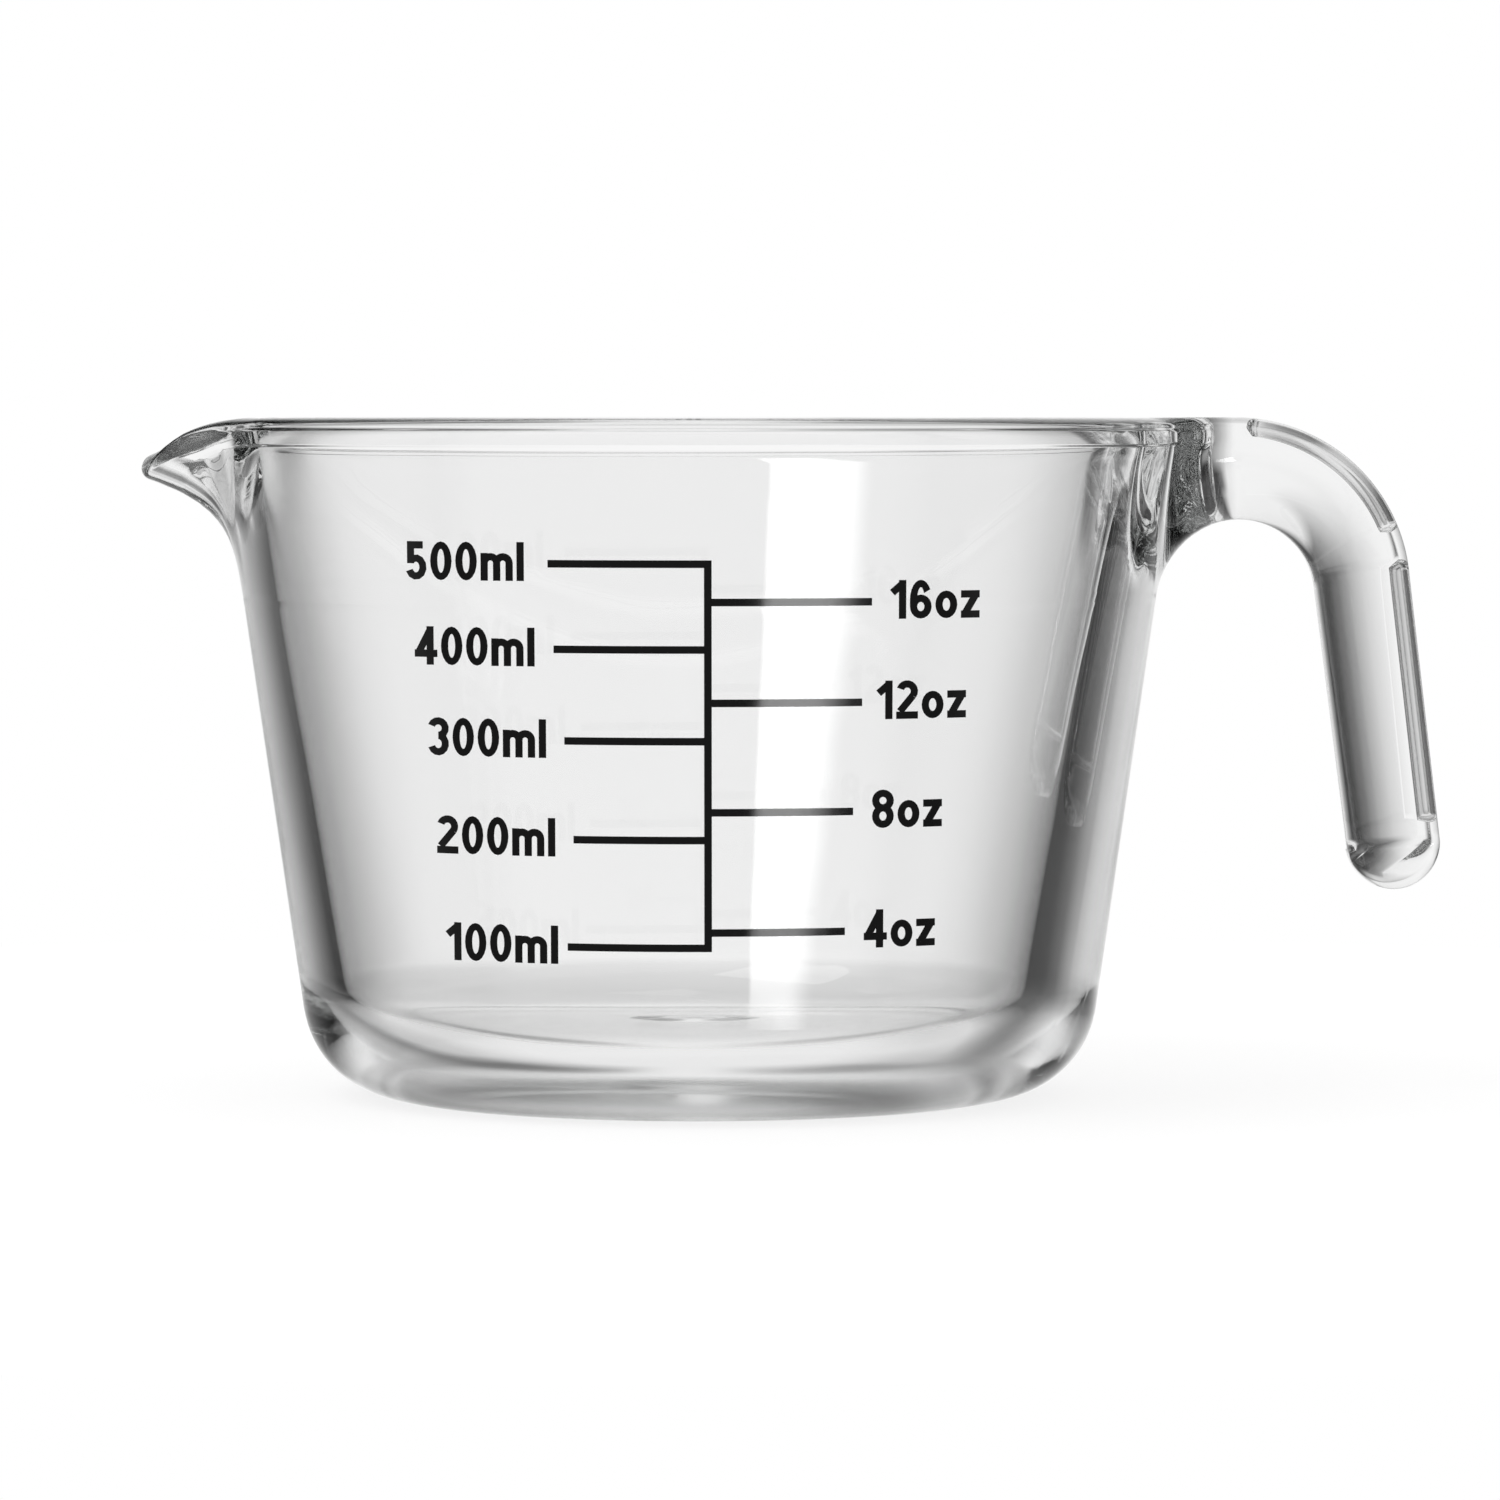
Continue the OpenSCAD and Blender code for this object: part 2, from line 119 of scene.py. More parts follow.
# The room around the jug, as degrees from straight back, the handle's side positive, and brightness
PANELS = (
    (-180, 0.95), (-125, 0.9), (-113, 0.4), (-100, 0.92), (-80, 0.92), (-68, 0.5), (-56, 0.03),
    (-44, 0.04), (-38, 0.13), (-20, 0.42), (-13, 0.62), (-8, 0.84), (-3, 0.97), (5, 0.97), (9, 0.9),
    (14, 0.76), (20, 0.57), (27, 0.32), (34, 0.12), (42, 0.03), (56, 0.03), (68, 0.5), (80, 0.92),
    (100, 0.92), (113, 0.4), (125, 0.9), (180, 0.95),
)
GROUND = (
    (-180, 0.6), (-90, 0.6), (-45, 0.75), (-28, 0.55), (-22, 0.12), (-12, 0.18), (-7, 0.38), (-3, 0.9),
    (3, 0.9), (8, 0.55), (13, 0.36), (22, 0.3), (30, 0.55), (45, 0.75), (90, 0.6),
)
ROOF = (
    (-22, 0.03), (-16, 0.15), (-10, 0.85), (0, 0.95), (10, 0.92), (16, 0.76), (22, 0.6), (30, 0.38),
    (40, 0.2), (55, 0.08),
)
CEILING = ((-22, 0.03), (-12, 0.8), (0, 0.95), (20, 0.92), (40, 0.85), (55, 0.05))
FRONT = ((-120, 0.2), (-80, 1.0), (80, 1.0), (120, 0.2))

# How the room changes with height, as degrees above the horizon and share
BELOW = ((-60, 1.0), (-45, 0.0))
OVER_GROUND = ((-36, 0.0), (-24, 1.0))
OVER_PANELS = ((5, 0.0), (12, 1.0))
OVER_ROOF = ((20, 0.0), (27, 1.0))
FADE = ((-30, 1.0), (-22, 0.74), (-17, 0.75), (-13.5, 0.84), (-10.5, 1.0))
BELOW_GREY = 0.86
MIRRORED_GROUND_GREY = 0.9
EVEN_LIGHT_GREY = 0.9

# The tall light, in degrees of turn from straight in front and of fall below the horizon
LIGHT_LEFT = 16.3
LIGHT_RIGHT = 43.5
LIGHT_LEFT_SOFT = 2.0
LIGHT_RIGHT_SOFT = 9.0
LIGHT_BEND = 16.5
LIGHT_LEFT_CLOSING = -0.65
LIGHT_RIGHT_CLOSING = -2.6
LIGHT_TOP = 13.5
LIGHT_TOP_SOFT_END = 14.5
LIGHT_FLOOR = 21.2
LIGHT_FLOOR_SOFT = 0.8

# The stage, in metres, degrees and watts
STAGE_RADIUS = 0.3
STAGE_SIDES = 128
STAGE_DROP = 0.00005
LAMP_SIZE = 0.8
LAMP_POWER = 4.0
LAMP_PLACE = (-0.7, -0.5, 1.1)
LAMP_TILT = 30.0
LAMP_TURN = -54.0
CAMERA_PLACE = (0.00667, -1.0, 0.091)
CAMERA_FALL = 2.587
CAMERA_SENSOR = 36.0
CAMERA_LENS = 180.5
CAMERA_NEAR = 0.05
CAMERA_FAR = 50.0
BOUNCES = 40


def length(name, default, text):
    """A size in metres, shown with the scene's unit of length."""
    return bpy.props.FloatProperty(
        name=name, description=text, default=default, min=0.0, unit="LENGTH", precision=5
    )


def angle(name, degrees, text):
    """An angle, kept in radians and shown in degrees."""
    return bpy.props.FloatProperty(
        name=name, description=text, default=math.radians(degrees), subtype="ANGLE"
    )


def plain(name, default, text):
    """A bare number, such as a share or a strength."""
    return bpy.props.FloatProperty(name=name, description=text, default=default, precision=4)


def colour(name, default, text):
    """A linear colour with no alpha."""
    return bpy.props.FloatVectorProperty(
        name=name, description=text, default=default, size=3, subtype="COLOR", min=0.0, max=1.0
    )


class JugSizes(bpy.types.PropertyGroup):
    """Sizes of the glass, in metres."""

    height: length("Height", 0.09, "Base to rim")
    rim_radius: length("Rim radius", 0.064, "Outer wall at the rim")
    base_radius: length("Base radius", 0.051, "Outer wall carried down to the table")
    corner_radius: length("Corner radius", 0.0135, "Rounding under the wall")
    rim_wall: length("Rim wall", 0.0056, "Glass at the rim")
    floor_wall: length("Floor wall", 0.0078, "Glass beside the inner floor")
    floor_thickness: length("Floor thickness", 0.0074, "Glass under the bowl")
    cavity_corner: length("Inner corner", 0.01, "Rounding at the inner floor")
    cavity_shift: length("Cavity shift", 0.0014, "How far the bowl sits towards the lip")
    rim_cap: length("Rim cap", 0.0011, "Height of the rounded rim")
    band_low: length("Band start", 0.0862, "Height at which the upright band under the rim starts")
    band_high: length("Band end", 0.0888, "Height at which the band's ledge ends")
    band_turn: length("Band turn", 0.0005, "Height over which the band leaves the wall")
    ledge_depth: length("Ledge depth", 0.0004, "How far the rim stands back from the band")
    punt_radius: length("Punt radius", 0.0086, "Hollow under the base, at the table")
    punt_top_radius: length("Punt top radius", 0.0044, "Hollow under the base, at its top")
    punt_depth: length("Punt depth", 0.0026, "Hollow under the base")
    lip_reach: length("Lip reach", 0.0102, "How far the lip's lower face leans out of the wall")
    lip_inner_reach: length("Lip inner reach", 0.0132, "How far the lip's upper face leans out of the wall")
    lip_low: length("Lip start", 0.05, "Height at which the lip leaves the wall")
    lip_edge: length("Lip edge", 0.085, "Height of the rim in the middle of the lip")
    lip_under: length("Lip underside", 0.00325, "How far the lip's lower face ends below its edge")
    lip_top: length("Lip top", 0.0001, "How far the lip's upper face starts below its edge")
    lip_nose: length("Lip nose", 0.0016, "Length of the rounded end of the lip")
    lip_half_angle: angle("Lip half angle", 27.0, "Half of the lip's share of the rim")
    lip_curl: plain("Lip curl", 8.7, "Power by which the lip turns outward")
    lip_dip: plain("Lip dip", 3.4, "Power by which the rim dips into the lip")
    channel_pinch: plain("Channel pinch", 3.5, "Power by which the pouring channel is narrower than the lip")
    arch_x: length("Arch centre out", 0.0715, "Centre of the handle's bend, from the axis")
    arch_z: length("Arch centre up", 0.06628, "Centre of the handle's bend, above the table")
    arch_radius: length("Arch radius", 0.0102, "Inner bend of the handle")
    strap_top: length("Strap top", 0.0136, "Thickness of the handle at the top of its bend")
    strap_leg: length("Strap leg", 0.0121, "Thickness of the handle where the leg starts")
    strap_tip: length("Strap tip", 0.0117, "Thickness of the handle at its free end")
    strap_width: length("Strap width", 0.02, "Width of the handle")
    strap_belly: length("Strap belly", 0.0095, "Depth of the handle's round inner side")
    strap_round: length("Strap round", 0.0013, "Rounding along the handle's outer edges")
    strap_seat: length("Strap seat", 0.0028, "Half width of the flattest part of the inner side")
    leg_length: length("Leg length", 0.0353, "Straight part of the handle")
    leg_lean: angle("Leg lean", 7.4, "How far the leg leans outward")
    root_half: length("Root half width", 0.017, "Half width of the handle's root on the wall")
    root_seat: length("Root seat", 0.0055, "Half width of the root's lower edge")
    root_turn: length("Root turn", 0.0145, "Height over which the root's outline bends upright")
    panel_width: length("Panel width", 0.0125, "Width of the handle's sunk panels")
    panel_depth: length("Panel depth", 0.0024, "Depth of the handle's sunk panels")
    panel_edge: length("Panel edge", 0.001, "Width of the slope around the panels")
    print_bed: length("Print bed", 0.00003, "How far the glass rises around the print")


class JugLook(bpy.types.PropertyGroup):
    """Colours, finish and light."""

    glass_colour: colour("Glass", (1.0, 1.0, 1.0), "Tint of the clear glass")
    enamel_colour: colour("Enamel", (0.004, 0.004, 0.004), "Black of the printed scale")
    floor_colour: colour("Floor", (0.2, 0.2, 0.2), "Plain pale floor")
    body_colour: colour("Glass body", (0.0, 0.04, 0.02), "Tint that the glass takes on with depth")
    body_density: plain("Body density", 2.0, "Light that the glass swallows, per metre")
    glass_index: plain("Index", 1.5, "Refraction of soda-lime glass")
    wave_scale: plain("Wave scale", 55.0, "How close the waves in the glass are")
    wave_strength: plain("Wave strength", 0.04, "How much the waves bend light")
    wave_depth: length("Wave depth", 0.001, "Depth that the waves' strength is taken from")
    foot_roughness: plain("Foot roughness", 0.2, "How matt the face is that the jug stands on")
    matt_end: length("Matt end", 0.0001, "Height up to which the glass is matt")
    clear_start: length("Clear start", 0.0004, "Height from which the glass is clear")
    patch_scale: plain("Patch scale", 900.0, "How close the patches in the enamel's gloss are")
    patch_detail: plain("Patch detail", 3.0, "How fine the patches in the enamel's gloss are")
    gloss_low: plain("Smoothest", 0.05, "Roughness of the smoothest enamel")
    gloss_high: plain("Dullest", 0.14, "Roughness of the dullest enamel")
    floor_roughness: plain("Floor roughness", 0.9, "How dull the floor is")
    floor_glow: plain("Floor glow", 0.83, "Light that lifts the floor to white")
    tall_light: plain("Tall light", 7.0, "Strength of the light that the wall mirrors")


def mix(a, b, t):
    """The value a share t of the way from a to b."""
    return a + (b - a) * t


def ease(t):
    """Rises from 0 to 1 as t does, level at both ends."""
    t = np.clip(t, 0.0, 1.0)
    return t * t * (3.0 - 2.0 * t)


def polar(radius, turn, z, shift=0.0):
    """Points at a radius and turn about an upright axis that stands at x = shift."""
    radius, turn, z = np.broadcast_arrays(radius, turn, z)
    return np.stack([shift + radius * np.cos(turn), radius * np.sin(turn), z], -1)


def corner_arc(radius, slope, ground, bend, rows):
    """A bend of the radius given by bend, between level ground and a wall that leans out by slope.

    The wall, carried down to the ground, has the first radius there. Gives radii and heights from the
    ground up.
    """
    lean = math.atan(slope)
    centre = radius + slope * bend - bend * math.hypot(1.0, slope)
    a = np.linspace(-QUARTER_TURN, -lean, rows + 1)
    return centre + bend * np.cos(a), ground + bend + bend * np.sin(a)


def outer_radius(s, z):
    """The outer wall is a cone: its radius grows evenly with height."""
    return mix(s.base_radius, s.rim_radius, z / s.height)


def inner_radius(s, z):
    """The inner wall is a steeper cone, thick at the floor and thinner at the rim."""
    low = outer_radius(s, s.floor_thickness) - s.floor_wall
    high = s.rim_radius - s.rim_wall
    return mix(low, high, (z - s.floor_thickness) / (s.height - s.floor_thickness))


def lip_share(s, turn):
    """1 in the middle of the lip and 0 beyond its half angle, as a squared cosine of the turn."""
    off = np.abs(np.mod(turn, FULL_TURN) - math.pi)
    inside = off < s.lip_half_angle
    return np.where(inside, np.cos(QUARTER_TURN * off / s.lip_half_angle) ** 2, 0.0)


def lip_flare(s, share, z, end):
    """How far the lip leans out at a height, as a share: a power curve that reaches 1 at its end."""
    return share * np.clip((z - s.lip_low) / (end - s.lip_low), 0.0, None) ** s.lip_curl


def rim_height(s, share):
    """The rim is level around the bowl and dips into the lip by a power of the lip's share."""
    return mix(s.height, s.lip_edge, share**s.lip_dip)


def outer_end(s, share):
    """Height at which the outer face ends and the rounded rim starts."""
    return rim_height(s, share) - mix(s.rim_cap, s.lip_under, share)


def inner_end(s, share):
    """Height at which the rounded rim ends and the inner face starts."""
    return rim_height(s, share) - mix(s.rim_cap, s.lip_top, share)


def outer_face(s, share, z):
    """Radius of the outer face: the cone, the lip's flare, the band under the rim and the print's bed.

    The band is upright: it fills the cone out to the radius that the cone has at the band's end. The rim
    stands back from it by the ledge. Both fade out into the lip.
    """
    bed = s.print_bed * ease((BED_TOP - z) / BED_FADE)
    band = np.minimum(outer_radius(s, s.band_high) - outer_radius(s, z), BAND_LIMIT)
    band = band * ease((z - s.band_low) / s.band_turn)
    band = band - s.ledge_depth * ease((z - s.band_high + s.band_turn) / s.band_turn)
    wall = outer_radius(s, z) + s.lip_reach * lip_flare(s, share, z, outer_end(s, share))
    return wall + bed + band * (1.0 - share)


def inner_face(s, share, z):
    """Radius of the inner face: the steeper cone, and a flare pinched into a channel within the lip."""
    flare = lip_flare(s, share**s.channel_pinch, z, inner_end(s, share))
    return inner_radius(s, z) + s.lip_inner_reach * flare


def root_outline(s):
    """Half widths and heights of the outline where the handle's rounding meets the wall.

    A quarter ellipse from the underside of the handle to its side.
    """
    t = np.linspace(0.0, QUARTER_TURN, ROOT_CURVE_ROWS + 1)
    half = s.root_seat + (s.root_half - s.root_seat) * np.sin(t)
    return half, s.arch_z + s.root_turn * (1.0 - np.cos(t))


def base_rows(s):
    """Radii and heights of the rows from the middle of the base to the foot of the outer wall.

    They cross the level top of the hollow, run down its side, which is part eased and part straight,
    cross the face that the jug stands on and climb the corner. Also gives the height of the wall's foot.
    """
    drop = np.linspace(0.0, 1.0, PUNT_ROWS + 1)
    punt_r = np.concatenate([
        s.punt_top_radius * np.array(PUNT_TOP_SHARES),
        mix(s.punt_top_radius, s.punt_radius, drop),
        s.punt_radius + PUNT_EDGE_STEP * np.array(PUNT_EDGE_STEPS),
    ])
    punt_z = np.concatenate([
        np.full(len(PUNT_TOP_SHARES), s.punt_depth),
        s.punt_depth * (1.0 - ease(drop) * PUNT_EASED - drop * PUNT_STRAIGHT),
        np.zeros(len(PUNT_EDGE_STEPS)),
    ])
    slope = (s.rim_radius - s.base_radius) / s.height
    arc_r, arc_z = corner_arc(s.base_radius, slope, 0.0, s.corner_radius, CORNER_ROWS)
    flat_r = np.linspace(punt_r[-1], arc_r[0], FLAT_ROWS + 1)[1:-1]
    radii = np.concatenate([punt_r, flat_r, arc_r[:-1]])
    heights = np.concatenate([punt_z, np.zeros(len(flat_r)), arc_z[:-1]])
    return radii, heights, arc_z[-1]


def bowl_rows(s):
    """Radii and heights of the rows from the foot of the inner wall to the middle of the floor.

    Also gives the height of the wall's foot.
    """
    low = inner_radius(s, s.floor_thickness)
    slope = (s.rim_radius - s.rim_wall - low) / (s.height - s.floor_thickness)
    arc_r, arc_z = corner_arc(low, slope, s.floor_thickness, s.cavity_corner, INNER_CORNER_ROWS)
    floor_r = np.linspace(arc_r[0], 0.0, FLOOR_ROWS + 1)[1:-1]
    radii = np.concatenate([arc_r[::-1][1:], floor_r])
    heights = np.concatenate([arc_z[::-1][1:], np.full(len(floor_r), s.floor_thickness)])
    return radii, heights, arc_z[-1]


def rim_points(s, turn, over):
    """Points of the rounded rim, from the outer face over the top to the inner face.

    A column is half of a rounded ellipse between the ends of the two faces. It leans out by the mean
    slope of the faces there, so that the lip's nose points along the lip.
    """
    share = lip_share(s, turn)
    out_z = outer_end(s, share)
    in_z = inner_end(s, share)
    out_r = outer_face(s, share, out_z)
    in_r = inner_face(s, share, in_z)
    out_lean = np.arctan((out_r - outer_face(s, share, out_z - SLOPE_STEP)) / SLOPE_STEP)
    in_lean = np.arctan((in_r - inner_face(s, share, in_z - SLOPE_STEP)) / SLOPE_STEP)
    lean = 0.5 * out_lean + 0.5 * in_lean
    up = polar(np.sin(lean), turn, np.cos(lean))
    across = (np.sign(np.cos(over)) * np.abs(np.cos(over)) ** RIM_POWER)[:, None, None]
    rise = (np.abs(np.sin(over)) ** RIM_POWER)[:, None, None]
    cap = mix(s.rim_cap, s.lip_nose, share)[..., None]
    out_p = polar(out_r, turn, out_z)
    in_p = polar(in_r, turn, in_z, -s.cavity_shift)
    return 0.5 * (out_p + in_p) + 0.5 * (out_p - in_p) * across + cap * rise * up


def vessel_grid(s):
    """The vessel as one grid of rows by columns, from the middle of the base to the middle of the floor.

    A column is one turn about the axis. Rows run out under the base, up the outer wall, over the rim and
    down the inner wall. The columns beside the handle close in on the outline of its root. Gives the
    grid, and the first and last row of the opening for the root.
    """
    top = s.height - s.rim_cap
    half, root_z = root_outline(s)
    narrow = np.arcsin(half / outer_radius(s, root_z))

    base_r, base_z, wall_from = base_rows(s)
    wall_z = np.linspace(wall_from, root_z[0], WALL_ROWS + 1)[:, None]
    side_z = np.interp(
        np.arange(1, ROOT_SIDE_ROWS + 1),
        [0, *BAND_ROWS, ROOT_SIDE_ROWS],
        [root_z[-1], s.band_low, s.band_low + s.band_turn, s.band_high - s.band_turn, top],
    )
    climb = (np.concatenate([root_z[1:], side_z]) - root_z[0]) / (top - root_z[0])
    over = np.linspace(0.0, math.pi, 2 * RIM_ROWS + 1)[1:]
    down = np.linspace(0.0, 1.0, INNER_ROWS + 1)[1:]
    bowl_r, bowl_z, wall_to = bowl_rows(s)

    counts = [len(base_r), len(wall_z), len(climb), len(over), len(down), len(bowl_r)]
    root_turn = np.concatenate([
        np.full(counts[0] + counts[1], narrow[0]),
        narrow[1:],
        np.full(ROOT_SIDE_ROWS + sum(counts[3:]), narrow[-1]),
    ])[:, None]
    inside = np.linspace(-1.0, 1.0, ROOT_COLUMNS + 1)
    beyond = np.linspace(0.0, 1.0, OTHER_COLUMNS + 1)[1:-1]
    turn = np.concatenate([root_turn * inside, root_turn + (FULL_TURN - 2.0 * root_turn) * beyond], 1)
    base_t, wall_t, climb_t, over_t, down_t, bowl_t = np.split(turn, np.cumsum(counts)[:-1])

    climb_share = lip_share(s, climb_t)
    climb_z = root_z[0] + climb[:, None] * (outer_end(s, climb_share) - root_z[0])
    down_share = lip_share(s, down_t)
    down_from = inner_end(s, down_share)
    down_z = down_from + down[:, None] ** INNER_SPREAD * (wall_to - down_from)

    grid = np.concatenate([
        polar(base_r[:, None], base_t, base_z[:, None]),
        polar(outer_face(s, lip_share(s, wall_t), wall_z), wall_t, wall_z),
        polar(outer_face(s, climb_share, climb_z), climb_t, climb_z),
        rim_points(s, over_t, over),
        polar(inner_face(s, down_share, down_z), down_t, down_z, -s.cavity_shift),
        polar(bowl_r[:, None], bowl_t, bowl_z[:, None], -s.cavity_shift),
    ])
    first = counts[0] + counts[1] - 1
    last = first + counts[2] + RIM_ROWS
    return grid, first, last


def loop_of(grid):
    """The edge of a grid of rows by columns as one loop: along the first row, up, back and down."""
    return np.concatenate([grid[0, :], grid[1:, -1], grid[-1, -2::-1], grid[-2:0:-1, 0]])


def strap_side(s, thick):
    """One side of the handle's cross-section: half widths and depths from its inner side outward.

    A quarter ellipse for the round inner side, a short straight and a small rounding at the outer edge.
    """
    half = 0.5 * s.strap_width
    belly = np.linspace(math.asin(s.strap_seat / half), QUARTER_TURN, ROOT_CURVE_ROWS + 1)
    side = np.linspace(s.strap_belly, thick - s.strap_round, ROOT_SIDE_ROWS + 1)[1:]
    bend = np.linspace(0.0, QUARTER_TURN, RIM_ROWS + 1)[1:]
    wide = [half * np.sin(belly), np.full(len(side), half), half - s.strap_round * (1.0 - np.cos(bend))]
    deep = [s.strap_belly * (1.0 - np.cos(belly)), side, thick - s.strap_round * (1.0 - np.sin(bend))]
    return np.concatenate(wide), np.concatenate(deep)


def panel_columns(s):
    """Where the columns cross the handle's face: close together at the slopes of the sunk panel."""
    flat = 0.5 * s.strap_width - s.strap_round
    half = 0.5 * s.panel_width
    floor = half - s.panel_edge
    marks = [-flat, -half - PANEL_MARGIN, -floor, floor, half + PANEL_MARGIN, flat]
    middle = ROOT_COLUMNS - 2 * (PANEL_RIM_CELLS + PANEL_SLOPE_CELLS)
    cells = [0, PANEL_RIM_CELLS, PANEL_SLOPE_CELLS, middle, PANEL_SLOPE_CELLS, PANEL_RIM_CELLS]
    return np.interp(np.arange(ROOT_COLUMNS + 1), np.cumsum(cells), marks)


def strap_section(s, thick, sunk):
    """The handle's cross-section as a loop: widths, and heights from the middle of its thickness."""
    half = 0.5 * s.strap_width
    side, deep = strap_side(s, thick)
    seat = np.linspace(-s.strap_seat, s.strap_seat, ROOT_COLUMNS + 1)
    face = panel_columns(s)
    wide = np.zeros((len(side), ROOT_COLUMNS + 1))
    high = np.zeros(wide.shape)
    wide[:, 0] = -side
    wide[:, -1] = side
    high[:, 0] = deep
    high[:, -1] = deep
    wide[0] = seat
    high[0] = s.strap_belly * (1.0 - np.sqrt(1.0 - (seat / half) ** 2))
    wide[-1] = face
    high[-1] = thick - sunk * s.panel_depth * ease((0.5 * s.panel_width - np.abs(face)) / s.panel_edge)
    return loop_of(wide), loop_of(high) - 0.5 * thick


def panel_shares(s, path, mean):
    """How far the panels are sunk along the handle: 1 in the thumb panel and the back panel, else 0.

    The path is measured along the middle of the strap, whose bend has the radius given by mean.
    """
    def window(start, end):
        return ease((path - start) / s.panel_edge) * ease((end - path) / s.panel_edge)

    thumb_end = (QUARTER_TURN - math.radians(THUMB_PANEL_END)) * mean
    back_start = (QUARTER_TURN - math.radians(BACK_PANEL_START)) * mean
    back_end = path[-1] - BACK_PANEL_MARGIN * s.leg_length
    return window(0.0, thumb_end) + window(back_start, back_end)


def root_fillet(s, root, start):
    """Rings between the root loop on the wall and the start of the strap.

    Seen from the side each is an arc of a circle: it starts along the wall, aims at the corner where the
    strap would meet it, and ends along the strap.
    """
    foot_z = np.minimum(start[:, 2], s.height)
    corner = start.copy()
    corner[:, 0] = np.sqrt(outer_radius(s, foot_z) ** 2 - start[:, 1] ** 2)
    t = np.linspace(0.0, 1.0, FILLET_RINGS + 1)[1:-1, None, None]
    pull = 2.0 * t * (1.0 - t) * FILLET_WEIGHT
    weight = (1.0 - t) ** 2 + pull + t**2
    return ((1.0 - t) ** 2 * root + pull * corner + t**2 * start) / weight


def handle_rings(s, root):
    """Rings of points from the root loop on the wall to the free end of the leg.

    The first rings are the fillet. The rest carry the cross-section round the bend and down the leg.
    Gives the rings, and the last section's place, turn and thickness.
    """
    bend = np.linspace(QUARTER_TURN, s.leg_lean, ARCH_RINGS + 1)
    reach = np.linspace(0.0, s.leg_length, LEG_RINGS + 1)[1:]
    turn = np.concatenate([bend, np.full(LEG_RINGS, s.leg_lean)])
    along = np.concatenate([np.zeros(ARCH_RINGS + 1), reach])
    around = (QUARTER_TURN - bend) / (QUARTER_TURN - s.leg_lean)
    thick = np.concatenate([
        mix(s.strap_top, s.strap_leg, around),
        mix(s.strap_leg, s.strap_tip, reach / s.leg_length),
    ])
    middle = s.arch_radius + 0.5 * thick
    centre_x = s.arch_x + middle * np.cos(turn) + along * np.sin(turn)
    centre_z = s.arch_z + middle * np.sin(turn) - along * np.cos(turn)

    mean = s.arch_radius + 0.5 * s.strap_top
    path = np.concatenate([(QUARTER_TURN - bend) * mean, (QUARTER_TURN - s.leg_lean) * mean + reach])
    rings = []
    for x, z, a, t, sunk in zip(centre_x, centre_z, turn, thick, panel_shares(s, path, mean)):
        wide, high = strap_section(s, t, sunk)
        rings.append(np.stack([x + high * math.cos(a), wide, z + high * math.sin(a)], -1))
    strap = np.array(rings)
    end = (centre_x[-1], centre_z[-1], turn[-1], thick[-1])
    return np.concatenate([root_fillet(s, root, strap[0]), strap]), end


def handle_end(s, end):
    """The free end of the handle: a half-round from face to face, rounded off towards the sides.

    Gives only the points inside the last ring.
    """
    x, z, a, thick = end
    side, deep = strap_side(s, thick)
    turn = np.linspace(-QUARTER_TURN, QUARTER_TURN, len(side))[1:-1, None]
    even = np.linspace(-1.0, 1.0, ROOT_COLUMNS + 1)[None, 1:-1]
    high = 0.5 * thick * np.sin(turn)
    wide = even * np.interp(high + 0.5 * thick, deep, side)
    out = 0.5 * thick * np.cos(turn) * (1.0 - np.abs(even) ** END_FULLNESS) ** END_POWER
    px = x + high * math.cos(a) + out * math.sin(a)
    pz = z + high * math.sin(a) - out * math.cos(a)
    return np.stack([px, wide, pz], -1)


def strips(lower, upper):
    """Four-sided faces between two rows of point numbers, each closed into a ring."""
    faces = np.stack([lower, np.roll(lower, -1, 1), np.roll(upper, -1, 1), upper], -1)
    return faces.reshape(-1, 4)


def numbers(start, points):
    """Point numbers for a grid of points, counted on from start."""
    rows, columns = points.shape[:2]
    return start + np.arange(rows * columns).reshape(rows, columns)


def glass_mesh(s):
    """The whole glass as one closed mesh: vessel grid, handle rings, handle end and two middle points."""
    grid, first, last = vessel_grid(s)
    ids = numbers(0, grid)
    columns = ids.shape[1]
    keep = np.ones((len(ids) - 1, columns), bool)
    keep[first:last, :ROOT_COLUMNS] = False
    vessel_faces = strips(ids[:-1], ids[1:])[keep.ravel()]

    root_ids = ids[first : last + 1, : ROOT_COLUMNS + 1]
    root = loop_of(root_ids)
    rings, end = handle_rings(s, grid.reshape(-1, 3)[root])
    ring_ids = np.concatenate([root[None], numbers(ids.size, rings)])
    ring_faces = strips(ring_ids[:-1], ring_ids[1:])

    cap = handle_end(s, end)
    cap_ids = np.zeros(root_ids.shape, int)
    np.put(cap_ids, loop_of(numbers(0, cap_ids)), ring_ids[-1])
    cap_ids[1:-1, 1:-1] = numbers(ring_ids.max() + 1, cap)
    cap_faces = np.stack([cap_ids[:-1, :-1], cap_ids[:-1, 1:], cap_ids[1:, 1:], cap_ids[1:, :-1]], -1)

    middles = np.array([[0.0, 0.0, s.punt_depth], [-s.cavity_shift, 0.0, s.floor_thickness]])
    points = np.concatenate([grid.reshape(-1, 3), rings.reshape(-1, 3), cap.reshape(-1, 3), middles])
    under = np.full(columns, len(points) - 2)
    above = np.full(columns, len(points) - 1)
    fans = np.concatenate([
        np.stack([under, np.roll(ids[0], -1), ids[0]], -1),
        np.stack([ids[-1], np.roll(ids[-1], -1), above], -1),
    ])
    quads = np.concatenate([vessel_faces, ring_faces, cap_faces.reshape(-1, 4)])

    mesh = bpy.data.meshes.new("jug_glass")
    mesh.from_pydata(points.tolist(), [], quads.tolist() + fans.tolist())
    mesh.polygons.foreach_set("use_smooth", np.ones(len(mesh.polygons), bool))
    mesh.update()
    return mesh


def grey(value):
    """A grey with full alpha."""
    return (value, value, value, 1.0)


